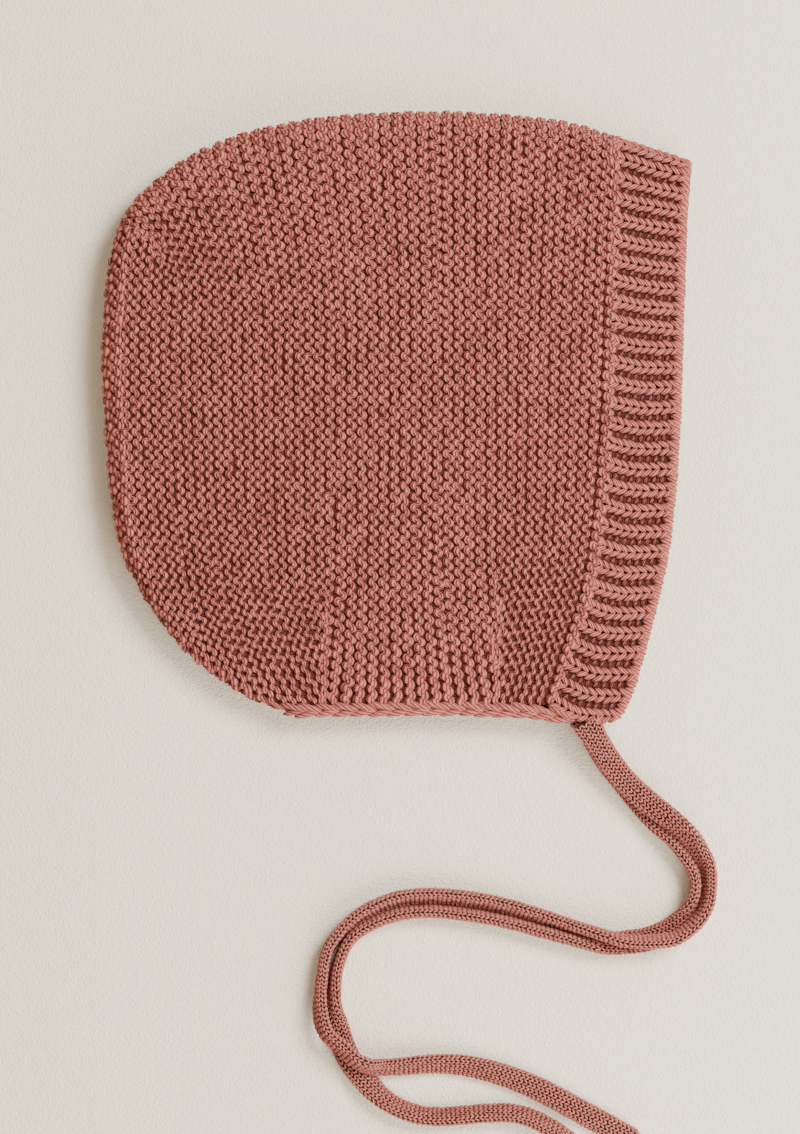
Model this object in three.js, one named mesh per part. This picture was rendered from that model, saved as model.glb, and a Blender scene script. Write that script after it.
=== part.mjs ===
// Knitted baby bonnet, lying on its side and folded flat on its centre line.
// Millimetres, +Z up. X runs from the back of the head to the face, Y from the neck to the crown.
// The far side of the bonnet lies on Z = 0, and the near side is above it.
// The origin is on that plane, below the middle of the folded bonnet.
import * as THREE from 'three';

// Driving sizes
const garterWall = 3.4;
const ribWall = 3.2;
const seamGap = 0.3;
const foldReach = 7; // plan distance from a fold's crest to where the wall lies flat
const crestHeight = 6; // height of a fold's crest
const crestWidth = 0.05; // plan distance within which a point counts as on the crest
const openingTop = 12.8; // height of the near side at the face and neck openings
const crownTop = 15; // height of the near side where it is fullest
const ribCount = 29; // ribs on each side of the face band
const ribRecess = 0.9; // depth of the furrow between two ribs
const edgingDrop = 3.2; // width of the chain edging at the neck
const edgingRound = 0.6; // how far its long edges are rounded off
const tieWidth = 7.0;
const tieThickness = 3.4;

// How finely each piece is divided. A fold share is the last part of a grid line, where it turns over.
const crownGrid = { alongSteps: 16, alongFold: 0.055, acrossSteps: 18, acrossFold: 0.05, foldSteps: 5 };
const ribGrid = { stepsInRib: 4, acrossSteps: 3 };
const edgingGrid = { alongSteps: 16, alongFold: 0.09, foldSteps: 4, acrossSteps: 4 };
const tieGrid = { sides: 8, steps: 80 };
const foldDotCount = 700;
const rowStep = 40;

// The near side rises from the two openings towards the middle of the crown
const rise = { frontX: 82, frontReach: 62, neckY: -84, neckReach: 46 };

// Shallow hollows in the near side, where short rows and the mitre draw the fabric in
const dents = [
  { x: -20, y: -64, reach: 15, depth: 0.8 },
  { x: 28, y: -60, reach: 15, depth: 0.8 },
  { x: -62, y: 44, reach: 14, depth: 0.6 },
];

// Crest of the centre fold, from the face edge over the crown and down the back to the nape
const foldRows = [
  { x: 82.0, y: 72.2, at: 'face' },
  { x: 60.6, y: 79.0, at: 'border' },
  { x: 45.0, y: 83.2 },
  { x: 12.0, y: 85.4 },
  { x: -22.0, y: 83.5 },
  { x: -48.0, y: 77.3 },
  { x: -66.0, y: 66.9 },
  { x: -77.6, y: 52.6, at: 'corner' },
  { x: -81.6, y: 28.0 },
  { x: -81.4, y: 0.0 },
  { x: -77.8, y: -34.0 },
  { x: -67.5, y: -55.5 },
  { x: -52.0, y: -72.0 },
  { x: -33.2, y: -83.6, at: 'nape' },
];

// Line where the ribbed band was picked up, from the neck to the crown
const borderRows = [
  { x: 42.7, y: -80.3 },
  { x: 48.0, y: -64.0 },
  { x: 53.6, y: -46.0 },
  { x: 57.2, y: -20.0 },
  { x: 59.2, y: 20.0 },
];

// Bound-off face edge, from the neck to the crown
const faceRows = [
  { x: 61.0, y: -85.0 },
  { x: 65.4, y: -76.4 },
  { x: 71.4, y: -55.0 },
  { x: 75.8, y: -34.0 },
  { x: 78.3, y: -5.0 },
  { x: 79.6, y: 34.0 },
  { x: 80.6, y: 60.0 },
];

// Lower end of the ribbed band between those two lines
const ribEndRows = [{ x: 50.3, y: -84.5 }];

// Upper side of the chain edging, from the band to the nape
const neckRows = [
  { x: 42.3, y: -80.4 },
  { x: 14.0, y: -80.1 },
  { x: -15.5, y: -80.4 },
];
const napeHeight = -80.6; // where that line reaches the centre fold

// Routes of the two flat ties. roll turns the wide side from flat (0) to standing on edge (90 degrees),
// and lift is the height of the tie's underside above the surface it lies on.
const nearTieRows = [
  { x: 54.1, y: -86.9, roll: 0, lift: 9.2 },
  { x: 56.1, y: -90.3, roll: 0, lift: 7.8 },
  { x: 59.4, y: -95.6, roll: 0, lift: 5.8 },
  { x: 64.1, y: -101.6, roll: 3, lift: 4.6 },
  { x: 69.8, y: -107.0, roll: 12, lift: 4.6 },
  { x: 73.4, y: -109.8, roll: 24, lift: 5.0 },
  { x: 77.0, y: -112.4, roll: 38, lift: 5.4 },
  { x: 80.5, y: -115.2, roll: 50, lift: 5.2 },
  { x: 83.6, y: -118.4, roll: 60, lift: 4.4 },
  { x: 87.0, y: -124.0, roll: 72, lift: 2.4 },
  { x: 88.1, y: -128.2, roll: 76, lift: 1.4 },
  { x: 88.1, y: -132.4, roll: 76, lift: 1.6 },
  { x: 87.5, y: -135.6, roll: 76, lift: 2.4 },
  { x: 86.1, y: -138.8, roll: 76, lift: 3.4 },
  { x: 83.9, y: -141.6, roll: 76, lift: 3.9 },
  { x: 80.5, y: -144.4, roll: 76, lift: 4.0 },
  { x: 76.3, y: -146.3, roll: 76, lift: 4.0 },
  { x: 67.1, y: -146.7, roll: 78, lift: 4.0 },
  { x: 62.9, y: -146.2, roll: 79, lift: 3.9 },
  { x: 58.7, y: -145.1, roll: 81, lift: 3.2 },
  { x: 50.3, y: -142.5, roll: 85, lift: 0.9 },
  { x: 44.7, y: -140.6, roll: 86, lift: 0.2 },
  { x: 32.1, y: -136.6, roll: 86, lift: 0.1 },
  { x: 20.0, y: -134.2, roll: 86, lift: 0.1 },
  { x: 9.0, y: -133.5, roll: 87, lift: 0.1 },
  { x: -0.5, y: -134.6, roll: 90, lift: 0.1 },
  { x: -9.9, y: -138.6, roll: 84, lift: 0.1 },
  { x: -16.2, y: -144.2, roll: 75, lift: 0.1 },
  { x: -20.0, y: -150.0, roll: 67, lift: 0.1 },
  { x: -21.6, y: -159.0, roll: 60, lift: 0.6 },
  { x: -21.4, y: -166.0, roll: 60, lift: 2.4 },
  { x: -19.6, y: -172.0, roll: 61, lift: 3.9 },
  { x: -15.5, y: -176.0, roll: 61, lift: 4.2 },
  { x: -9.9, y: -180.6, roll: 60, lift: 4.1 },
  { x: -2.9, y: -182.4, roll: 54, lift: 1.0 },
  { x: 12.5, y: -181.7, roll: 39, lift: 0.1 },
  { x: 23.7, y: -183.1, roll: 28, lift: 0.1 },
  { x: 37.7, y: -187.8, roll: 16, lift: 0.1 },
  { x: 54.5, y: -196.6, roll: 0, lift: 0.1 },
  { x: 68.5, y: -204.4, roll: 0, lift: 0.1 },
];
const farTieRows = [
  { x: 54.1, y: -86.7, roll: 0, lift: 0.1 },
  { x: 59.2, y: -96.0, roll: 0, lift: 0.1 },
  { x: 64.2, y: -102.4, roll: 0, lift: 0.1 },
  { x: 69.0, y: -108.4, roll: -12, lift: 0.1 },
  { x: 73.4, y: -113.7, roll: -38, lift: 0.1 },
  { x: 76.6, y: -116.8, roll: -56, lift: 0.1 },
  { x: 79.2, y: -120.0, roll: -68, lift: 0.1 },
  { x: 81.3, y: -123.2, roll: -76, lift: 0.1 },
  { x: 83.2, y: -126.3, roll: -80, lift: 0.1 },
  { x: 84.2, y: -129.8, roll: -84, lift: 0.1 },
  { x: 84.2, y: -133.2, roll: -86, lift: 0.1 },
  { x: 83.5, y: -136.6, roll: -66, lift: 0.1 },
  { x: 81.9, y: -139.6, roll: -38, lift: 0.1 },
  { x: 78.2, y: -143.4, roll: -8, lift: 0.1 },
  { x: 74.6, y: -145.5, roll: 0, lift: 0.1 },
  { x: 68.9, y: -147.2, roll: 4, lift: 0.1 },
  { x: 58.9, y: -147.9, roll: 50, lift: 0.1 },
  { x: 55.6, y: -147.8, roll: 66, lift: 0.1 },
  { x: 49.4, y: -146.6, roll: 82, lift: 0.1 },
  { x: 40.5, y: -144.4, roll: 84, lift: 0.1 },
  { x: 30.0, y: -141.7, roll: 85, lift: 0.1 },
  { x: 20.9, y: -140.1, roll: 86, lift: 0.1 },
  { x: 10.0, y: -139.0, roll: 87, lift: 0.1 },
  { x: 1.3, y: -139.8, roll: 90, lift: 0.1 },
  { x: -7.1, y: -142.9, roll: 94, lift: 0.1 },
  { x: -12.7, y: -147.2, roll: 98, lift: 0.1 },
  { x: -15.9, y: -154.8, roll: 102, lift: 0.1 },
  { x: -17.0, y: -162.0, roll: 80, lift: 0.1 },
  { x: -17.2, y: -166.5, roll: 48, lift: 0.1 },
  { x: -16.6, y: -170.2, roll: 20, lift: 0.1 },
  { x: -15.2, y: -175.6, roll: 2, lift: 0.1 },
  { x: -12.9, y: -180.8, roll: -2, lift: 0.1 },
  { x: -10.2, y: -184.5, roll: -17, lift: 0.1 },
  { x: -7.0, y: -188.2, roll: -40, lift: 0.1 },
  { x: -2.5, y: -192.0, roll: -58, lift: 0.1 },
  { x: 4.1, y: -195.2, roll: -63, lift: 0.1 },
  { x: 12.5, y: -196.4, roll: -64, lift: 0.1 },
  { x: 32.1, y: -195.4, roll: -64, lift: 0.1 },
  { x: 43.3, y: -199.4, roll: -61, lift: 0.1 },
  { x: 51.5, y: -205.6, roll: -60, lift: 0.1 },
];

const knitColour = new THREE.Color('#bd6f61');
const knitRoughness = 0.92;

// A smooth plan curve through a table's rows
function through(points) {
  const curve = new THREE.CatmullRomCurve3(
    points.map(({ x, y }) => new THREE.Vector3(x, y, 0)), false, 'catmullrom', 0.5);
  curve.arcLengthDivisions = (points.length - 1) * rowStep;
  return curve;
}

// Share of a curve's length at one of its rows
function shareAtRow(curve, row) {
  const lengths = curve.getLengths();
  return lengths[row * rowStep] / lengths[lengths.length - 1];
}

// The stretch of a curve between two shares of its length, as a function from 0 to 1
function stretch(curve, from, to) {
  return (share) => curve.getPointAt(THREE.MathUtils.lerp(from, to, share));
}

const fold = through(foldRows);
const foldShare = (name) => shareAtRow(fold, foldRows.findIndex((row) => row.at === name));
const foldDots = fold.getSpacedPoints(foldDotCount);

// Share of the fold's length at a height on the lower back
function foldShareAtHeight(height) {
  let [low, high] = [foldShare('corner'), 1];
  for (let step = 0; step < 40; step += 1) {
    const middle = (low + high) / 2;
    if (fold.getPointAt(middle).y > height) low = middle;
    else high = middle;
  }
  return low;
}

// Distance in plan from a point to the centre fold, and the way out across the fold there
function towardsFold(point) {
  let best = { distance: Infinity };
  const segment = new THREE.Line3();
  const foot = new THREE.Vector3();
  for (let i = 1; i < foldDots.length; i += 1) {
    segment.set(foldDots[i - 1], foldDots[i]);
    segment.closestPointToPoint(point, true, foot);
    const distance = foot.distanceTo(point);
    if (distance < best.distance) best = { distance, foot: foot.clone(), segment: i };
  }
  const along = foldDots[best.segment].clone().sub(foldDots[best.segment - 1]).normalize();
  const across = new THREE.Vector3(along.y, -along.x, 0);
  const onCrest = best.distance < crestWidth;
  const outward = onCrest ? across : best.foot.sub(point).normalize();
  return { distance: onCrest ? 0 : best.distance, outward };
}

// Height of the near side's outer face, away from the folds
function nearHeight({ x, y }) {
  const fromFront = THREE.MathUtils.smoothstep(rise.frontX - x, 0, rise.frontReach);
  const fromNeck = THREE.MathUtils.smoothstep(y - rise.neckY, 0, rise.neckReach);
  const hollow = dents.reduce((sum, dent) => {
    const away = Math.hypot(x - dent.x, y - dent.y) / dent.reach;
    return sum + dent.depth * Math.exp(-away * away);
  }, 0);
  return openingTop + (crownTop - openingTop) * fromFront * fromNeck - hollow;
}

const near = 1;
const far = -1;

// A point of the folded cloth above or below a plan point, at a depth under its outer face
function cloth(plan, side, depth) {
  const { distance, outward } = towardsFold(plan);
  const turn = Math.acos(1 - Math.min(distance / foldReach, 1));
  const half = side === near ? nearHeight(plan) - crestHeight : crestHeight;
  const normal = outward.multiplyScalar(half * Math.cos(turn));
  normal.z = side * foldReach * Math.sin(turn);
  normal.normalize();
  const point = new THREE.Vector3(plan.x, plan.y, crestHeight + side * half * Math.sin(turn));
  return point.addScaledVector(normal, -depth);
}

// Shares from 0 to 1 in even steps, with finer ones over the last stretch, where a fold turns
function gradedShares(evenSteps, foldSteps, foldStretch) {
  const shares = [];
  for (let i = 0; i < evenSteps; i += 1) shares.push((1 - foldStretch) * (i / evenSteps));
  for (let i = 0; i <= foldSteps; i += 1) {
    const turn = (Math.PI / 2) * (1 - i / foldSteps);
    shares.push(1 - foldStretch * (1 - Math.cos(turn)));
  }
  return shares;
}

const evenShares = (steps) => Array.from({ length: steps + 1 }, (_, i) => i / steps);

// A plan patch between four boundary curves: start and end run across, low and high run along
function planPatch({ start, end, low, high }) {
  const mix = (a, b, share) => a.clone().lerp(b, share);
  return (along, across) => {
    const ruled = mix(start(across), end(across), along);
    const lofted = mix(low(along), high(along), across);
    const corners = mix(mix(low(0), low(1), along), mix(high(0), high(1), along), across);
    return ruled.add(lofted).sub(corners);
  };
}

// A closed wall folded in two along its end crest, and along its high crest if it has one.
// Its near and far sides share the crests, and rims close its other edges.
function foldedWall({ patch, alongs, acrosses, highCrest, wall, recess }) {
  const positions = [];
  const triangles = [];
  const lastAlong = alongs.length - 1;
  const lastAcross = acrosses.length - 1;
  const indexOf = new Map();
  const vertex = (i, j, side, skin) => {
    const onCrest = i === lastAlong || (highCrest && j === lastAcross);
    const key = [i, j, onCrest ? near : side, skin].join();
    if (!indexOf.has(key)) {
      const sunk = recess(alongs[i], acrosses[j]);
      const depth = skin === 'outer' ? sunk : sunk + wall;
      const point = cloth(patch(alongs[i], acrosses[j]), onCrest ? near : side, depth);
      indexOf.set(key, positions.length / 3);
      positions.push(point.x, point.y, point.z);
    }
    return indexOf.get(key);
  };
  const quad = (a, b, c, d, flip) => {
    if (flip) triangles.push(a, c, b, a, d, c);
    else triangles.push(a, b, c, a, c, d);
  };
  for (const side of [near, far]) {
    for (let i = 0; i < lastAlong; i += 1) {
      for (let j = 0; j < lastAcross; j += 1) {
        for (const skin of ['outer', 'inner']) {
          const corners = [[i, j], [i, j + 1], [i + 1, j + 1], [i + 1, j]];
          const [a, b, c, d] = corners.map(([p, q]) => vertex(p, q, side, skin));
          quad(a, b, c, d, (side === far) !== (skin === 'inner'));
        }
      }
    }
    const rim = (from, to, flip) => quad(
      vertex(...from, side, 'outer'), vertex(...to, side, 'outer'),
      vertex(...to, side, 'inner'), vertex(...from, side, 'inner'), flip);
    for (let j = 0; j < lastAcross; j += 1) rim([0, j], [0, j + 1], side === near);
    for (let i = 0; i < lastAlong; i += 1) {
      rim([i, 0], [i + 1, 0], side === far);
      if (!highCrest) rim([i, lastAcross], [i + 1, lastAcross], side === near);
    }
  }
  const geometry = new THREE.BufferGeometry();
  geometry.setAttribute('position', new THREE.Float32BufferAttribute(positions, 3));
  geometry.setIndex(triangles);
  geometry.computeVertexNormals();
  return geometry;
}

const shiftRows = (rows, dx, dy) => rows.map(({ x, y }) => ({ x: x + dx, y: y + dy }));
const whole = (curve) => stretch(curve, 0, 1);

// Garter-stitch body: along runs from the picked-up border to the back fold, across from neck to crown
function crownGeometry() {
  const napeShare = foldShareAtHeight(napeHeight + seamGap);
  const cornerShare = foldShare('corner');
  const topShare = foldShare('border') + seamGap / fold.getLength();
  const border = through([
    ...shiftRows(borderRows, -seamGap / 2, seamGap / 2), fold.getPointAt(topShare)]);
  const neck = through([
    border.getPointAt(0), ...shiftRows(neckRows.slice(1), 0, seamGap / 2), fold.getPointAt(napeShare)]);
  return foldedWall({
    patch: planPatch({
      start: whole(border),
      end: stretch(fold, napeShare, cornerShare),
      low: whole(neck),
      high: stretch(fold, topShare, cornerShare),
    }),
    alongs: gradedShares(crownGrid.alongSteps, crownGrid.foldSteps, crownGrid.alongFold),
    acrosses: gradedShares(crownGrid.acrossSteps, crownGrid.foldSteps, crownGrid.acrossFold),
    highCrest: true,
    wall: garterWall,
    recess: () => 0,
  });
}

// Ribbed band: along runs up from the neck to the crown fold, across from the border to the face edge
function faceRibGeometry() {
  const topShare = foldShare('border') - seamGap / fold.getLength();
  const border = through([...shiftRows(borderRows, seamGap / 2, 0), fold.getPointAt(topShare)]);
  const face = through([...faceRows, fold.getPointAt(0)]);
  const lowEnd = through([border.getPointAt(0), ...ribEndRows, face.getPointAt(0)]);
  return foldedWall({
    patch: planPatch({
      start: whole(lowEnd),
      end: stretch(fold, topShare, 0),
      low: whole(border),
      high: whole(face),
    }),
    alongs: evenShares(ribCount * ribGrid.stepsInRib),
    acrosses: evenShares(ribGrid.acrossSteps),
    highCrest: false,
    wall: ribWall,
    recess: (along) => ribRecess * (0.5 - 0.5 * Math.cos(2 * Math.PI * ribCount * (along - 1))),
  });
}

// Chain edging: along runs from the band to the nape, across from its lower edge up to the crown
function neckEdgeGeometry() {
  const upperShare = foldShareAtHeight(napeHeight - seamGap);
  const upper = through([...shiftRows(neckRows, 0, -seamGap / 2), fold.getPointAt(upperShare)]);
  const lowered = shiftRows(neckRows.slice(1), 0, -edgingDrop);
  const bandEnd = { x: neckRows[0].x + edgingDrop, y: neckRows[0].y - edgingDrop };
  const lower = through([bandEnd, ...lowered, fold.getPointAt(1)]);
  const bandSide = through([lower.getPointAt(0), upper.getPointAt(0)]);
  return foldedWall({
    patch: planPatch({
      start: whole(bandSide),
      end: stretch(fold, 1, upperShare),
      low: whole(lower),
      high: whole(upper),
    }),
    alongs: gradedShares(edgingGrid.alongSteps, edgingGrid.foldSteps, edgingGrid.alongFold),
    acrosses: evenShares(edgingGrid.acrossSteps),
    highCrest: false,
    wall: garterWall,
    recess: (along, across) => edgingRound * (2 * across - 1) ** 2,
  });
}

// A tie's centre line, whose frames turn with the roll column of its table
class TiePath extends THREE.CatmullRomCurve3 {
  constructor(rows) {
    const tallest = (roll) => Math.hypot(
      (tieWidth / 2) * Math.sin(roll), (tieThickness / 2) * Math.cos(roll));
    super(rows.map(({ x, y, roll, lift }) => new THREE.Vector3(
      x, y, lift + tallest(THREE.MathUtils.degToRad(roll)))), false, 'catmullrom', 0.5);
    this.rolls = new THREE.CatmullRomCurve3(
      rows.map(({ roll }, i) => new THREE.Vector3(i, THREE.MathUtils.degToRad(roll), 0)),
      false, 'catmullrom', 0.5);
  }

  computeFrenetFrames(segments) {
    const frames = { tangents: [], normals: [], binormals: [] };
    const vertical = new THREE.Vector3(0, 0, 1);
    for (let i = 0; i <= segments; i += 1) {
      const tangent = this.getTangentAt(i / segments);
      const { y: roll } = this.rolls.getPoint(this.getUtoTmapping(i / segments));
      const flat = new THREE.Vector3().crossVectors(tangent, vertical).normalize();
      const wide = flat.applyAxisAngle(tangent, roll);
      frames.tangents.push(tangent);
      frames.normals.push(wide);
      frames.binormals.push(new THREE.Vector3().crossVectors(tangent, wide));
    }
    return frames;
  }
}

// Flattened knitted tube: an oval section swept along a tie's route
function tieGeometry(rows) {
  const section = new THREE.Shape();
  for (let i = 0; i < tieGrid.sides; i += 1) {
    const angle = (2 * Math.PI * i) / tieGrid.sides;
    const [x, y] = [(tieWidth / 2) * Math.cos(angle), (tieThickness / 2) * Math.sin(angle)];
    if (i === 0) section.moveTo(x, y);
    else section.lineTo(x, y);
  }
  section.closePath();
  return new THREE.ExtrudeGeometry(section, {
    steps: tieGrid.steps, bevelEnabled: false, extrudePath: new TiePath(rows) });
}

const bonnet = new THREE.Group();
const pieces = [
  { name: 'crown', geometry: crownGeometry() },
  { name: 'face_rib', geometry: faceRibGeometry() },
  { name: 'neck_edge', geometry: neckEdgeGeometry() },
  { name: 'tie_near', geometry: tieGeometry(nearTieRows) },
  { name: 'tie_far', geometry: tieGeometry(farTieRows) },
];
for (const { name, geometry } of pieces) {
  const knit = new THREE.MeshStandardMaterial({
    color: knitColour, roughness: knitRoughness, metalness: 0 });
  const mesh = new THREE.Mesh(geometry, knit);
  mesh.name = name;
  bonnet.add(mesh);
}

export default bonnet;
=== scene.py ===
"""Knitted baby bonnet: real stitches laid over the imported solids, photographed from above."""

import math

import bpy
import numpy as np
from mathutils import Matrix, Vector


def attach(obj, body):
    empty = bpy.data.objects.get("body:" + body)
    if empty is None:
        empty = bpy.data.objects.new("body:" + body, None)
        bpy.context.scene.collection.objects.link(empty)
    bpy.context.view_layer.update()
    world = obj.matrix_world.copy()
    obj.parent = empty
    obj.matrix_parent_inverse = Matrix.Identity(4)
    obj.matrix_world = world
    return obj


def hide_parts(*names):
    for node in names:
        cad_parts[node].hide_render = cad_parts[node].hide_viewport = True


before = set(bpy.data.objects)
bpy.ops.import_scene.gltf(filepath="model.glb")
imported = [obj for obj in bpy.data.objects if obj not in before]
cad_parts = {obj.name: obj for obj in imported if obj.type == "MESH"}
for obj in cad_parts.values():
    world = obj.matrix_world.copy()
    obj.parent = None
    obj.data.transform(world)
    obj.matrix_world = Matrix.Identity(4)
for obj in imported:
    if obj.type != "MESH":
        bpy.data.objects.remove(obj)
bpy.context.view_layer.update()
rng = np.random.default_rng(11)

# Tables and sizes are in millimetres, and MM turns them into metres
MM = 0.001
NEAR = 1
FAR = -1
SIDE_NAMES = {NEAR: "near", FAR: "far"}

# The folded walls, as in the part's source
GARTER_WALL = 3.4
RIB_WALL = 3.2
FOLD_REACH = 7.0
CREST_HEIGHT = 6.0
OPENING_TOP = 12.8
CROWN_TOP = 15.0
RISE = {"front_x": 82.0, "front_reach": 62.0, "neck_y": -84.0, "neck_reach": 46.0}
DENTS = [
    {"x": -20.0, "y": -64.0, "reach": 15.0, "depth": 0.8},
    {"x": 28.0, "y": -60.0, "reach": 15.0, "depth": 0.8},
    {"x": -62.0, "y": 44.0, "reach": 14.0, "depth": 0.6},
]

# Crest of the centre fold, from the face edge over the crown and down the back to the nape
ROW_STEPS = 40
FOLD_ROWS = [
    (82.0, 72.2), (60.6, 79.0), (45.0, 83.2), (12.0, 85.4), (-22.0, 83.5),
    (-48.0, 77.3), (-66.0, 66.9), (-77.6, 52.6), (-81.6, 28.0), (-81.4, 0.0),
    (-77.8, -34.0), (-67.5, -55.5), (-52.0, -72.0), (-33.2, -83.6),
]
BORDER_TOP_ROW = 1
CORNER_ROW = 7

# Edges of the band from the neck upwards, its lower end, and the neck lines from the band backwards
BORDER_ROWS = [(42.7, -80.3), (48.0, -64.0), (53.6, -46.0), (57.2, -20.0), (59.2, 20.0), (60.6, 79.0)]
FACE_ROWS = [
    (61.0, -85.0), (65.4, -76.4), (71.4, -55.0), (75.8, -34.0),
    (78.3, -5.0), (79.6, 34.0), (80.6, 60.0), (82.0, 72.2),
]
RIB_END_ROWS = [(42.7, -80.3), (50.3, -84.5), (61.0, -85.0)]
CROWN_NECK_ROWS = [BORDER_ROWS[0], (14.0, -80.0), (-15.5, -80.3), (-37.6, -80.4)]
CHAIN_ROWS = [
    (49.0, -84.0), (44.0, -83.0), (37.0, -82.1), (27.0, -81.6), (14.0, -81.3),
    (-15.5, -81.6), (-29.0, -81.9), (-33.4, -81.2), (-36.4, -79.9),
]

# Flat ties: place in plan, roll from flat (0) to on edge (90 degrees), height of the underside
TIE_WIDTH = 7.0
TIE_THICKNESS = 3.4
NEAR_TIE_ROWS = [
    (54.1, -86.9, 0, 9.2), (56.1, -90.3, 0, 7.8), (59.4, -95.6, 0, 5.8), (64.1, -101.6, 3, 4.6),
    (69.8, -107.0, 12, 4.6), (73.4, -109.8, 24, 5.0), (77.0, -112.4, 38, 5.4), (80.5, -115.2, 50, 5.2),
    (83.6, -118.4, 60, 4.4), (87.0, -124.0, 72, 2.4), (88.1, -128.2, 76, 1.4), (88.1, -132.4, 76, 1.6),
    (87.5, -135.6, 76, 2.4), (86.1, -138.8, 76, 3.4), (83.9, -141.6, 76, 3.9), (80.5, -144.4, 76, 4.0),
    (76.3, -146.3, 76, 4.0), (67.1, -146.7, 78, 4.0), (62.9, -146.2, 79, 3.9), (58.7, -145.1, 81, 3.2),
    (50.3, -142.5, 85, 0.9), (44.7, -140.6, 86, 0.2), (32.1, -136.6, 86, 0.1), (20.0, -134.2, 86, 0.1),
    (9.0, -133.5, 87, 0.1), (-0.5, -134.6, 90, 0.1), (-9.9, -138.6, 84, 0.1), (-16.2, -144.2, 75, 0.1),
    (-20.0, -150.0, 67, 0.1), (-21.6, -159.0, 60, 0.6), (-21.4, -166.0, 60, 2.4), (-19.6, -172.0, 61, 3.9),
    (-15.5, -176.0, 61, 4.2), (-9.9, -180.6, 60, 4.1), (-2.9, -182.4, 54, 1.0), (12.5, -181.7, 39, 0.1),
    (23.7, -183.1, 28, 0.1), (37.7, -187.8, 16, 0.1), (54.5, -196.6, 0, 0.1), (68.5, -204.4, 0, 0.1),
]
FAR_TIE_ROWS = [
    (54.1, -86.7, 0, 0.1), (59.2, -96.0, 0, 0.1), (64.2, -102.4, 0, 0.1), (69.0, -108.4, -12, 0.1),
    (73.4, -113.7, -38, 0.1), (76.6, -116.8, -56, 0.1), (79.2, -120.0, -68, 0.1), (81.3, -123.2, -76, 0.1),
    (83.2, -126.3, -80, 0.1), (84.2, -129.8, -84, 0.1), (84.2, -133.2, -86, 0.1), (83.5, -136.6, -66, 0.1),
    (81.9, -139.6, -38, 0.1), (78.2, -143.4, -8, 0.1), (74.6, -145.5, 0, 0.1), (68.9, -147.2, 4, 0.1),
    (58.9, -147.9, 50, 0.1), (55.6, -147.8, 66, 0.1), (49.4, -146.6, 82, 0.1), (40.5, -144.4, 84, 0.1),
    (30.0, -141.7, 85, 0.1), (20.9, -140.1, 86, 0.1), (10.0, -139.0, 87, 0.1), (1.3, -139.8, 90, 0.1),
    (-7.1, -142.9, 94, 0.1), (-12.7, -147.2, 98, 0.1), (-15.9, -154.8, 102, 0.1), (-17.0, -162.0, 80, 0.1),
    (-17.2, -166.5, 48, 0.1), (-16.6, -170.2, 20, 0.1), (-15.2, -175.6, 2, 0.1), (-12.9, -180.8, -2, 0.1),
    (-10.2, -184.5, -17, 0.1), (-7.0, -188.2, -40, 0.1), (-2.5, -192.0, -58, 0.1), (4.1, -195.2, -63, 0.1),
    (12.5, -196.4, -64, 0.1), (32.1, -195.4, -64, 0.1), (43.3, -199.4, -61, 0.1), (51.5, -205.6, -60, 0.1),
]

# Knit of the ties: stitches round and along them, their ends, and how they lean on each other
TIE_EDGE_WALE = 2.2
TIE_FACE_WALES = 4
TIE_COURSE = 1.32
TIE_COURSE_ENDS = (0.4, 0.9)
TIE_LEG = [(-0.7, 0.46, 0.8), (-0.31, 0.36, 0.26), (0.29, 0.18, 0.22), (0.64, 0.08, 0.4)]
TIE_LEG_RADII = [0.12, 0.26, 0.27, 0.2]
# Painted shade and highlight of each leg ring: lighter on top, darker at the sunk ends
TIE_LEG_PAINTED_SHADE = [-0.2, 1.1, 1.25, 0.7]
TIE_TONE_AND_SHADE_LIMITS = (-0.2, 1.3)
TIE_LEG_SIDES = 5
TIE_STRAY = {"place": 0.04, "tone_and_painted_shade": 0.1}
# The core's low tone is painted shade in the gaps between the legs
TIE_CORE = {"rings": 220, "sides": 16, "depth": 0.85, "tone_and_painted_shade": -0.4}
TIE_SQUARENESS = 2.7
TIE_SECTION_POINTS = 241
TIE_ROOT = {"length": 2.6, "points": 12, "aim_point": 6}
TIE_END = {"reach": 3.0, "least": 0.06}
TIE_FLARE = {"reach": 7.0, "size": 0.24}
TIE_EDGE_TURN = {
    "most": math.radians(9.0), "from_roll": 72.0, "over_roll": 12.0, "from_x": -16.0, "over_x": 12.0,
}
TIE_ROLL_BLEND = (0.25, 0.5, 0.25)
TIE_LEAN = {"most": 4.5, "from_gap": 8.5, "over": 2.0, "least_gap": 0.01, "window": 31, "power": 2.5}
NEAR_LEAN_SHARE = 1.8
FAR_LEAN_SHARE = 0.6
CORD_POINTS = 160

# Garter stitch: ridges run from the neck to the crown, and are counted from the band to the back fold
RIDGE_COUNT = 48
RIDGE_PITCH = 2.97
STITCH = 2.97
RINGS_PER_STITCH = {NEAR: 12, FAR: 6}
YARN_SIDES = {NEAR: 6, FAR: 5}
YARN_RADIUS = 0.88
WAVE_WIDTH = 0.72
WAVE_SHARPNESS = 1.5
# Crossing: dip, tilt and thinning of the yarn, and painted shade that darkens it where it crosses back
CROSSING = {"dip": 0.5, "tilt": 0.1, "thinning": 0.12, "shade": 0.5}
STRAY = {"phase": 0.2, "swing": 0.16, "place": 0.12, "depth": 0.12, "radius": 0.07, "tone_and_painted_shade": 0.16}
RIDGE_TONE_AND_SHADE_LIMITS = (0, 1.2)
SPACING = {"widest_gap": 1.7, "least": 0.74, "most": 1.5, "window": 9}
SIZE_POWERS = {"radius": 1.5, "swing": 0.7}
OPEN_START = {"reach": 6.0, "swing": 0.3}
CLOSED_START = {"reach": 1.2, "size": 0.35, "sunk": 0.9}
GARTER_PARTS = ("front", "middle", "back")
CROWN_CORE_DEPTH = 1.6

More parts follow.
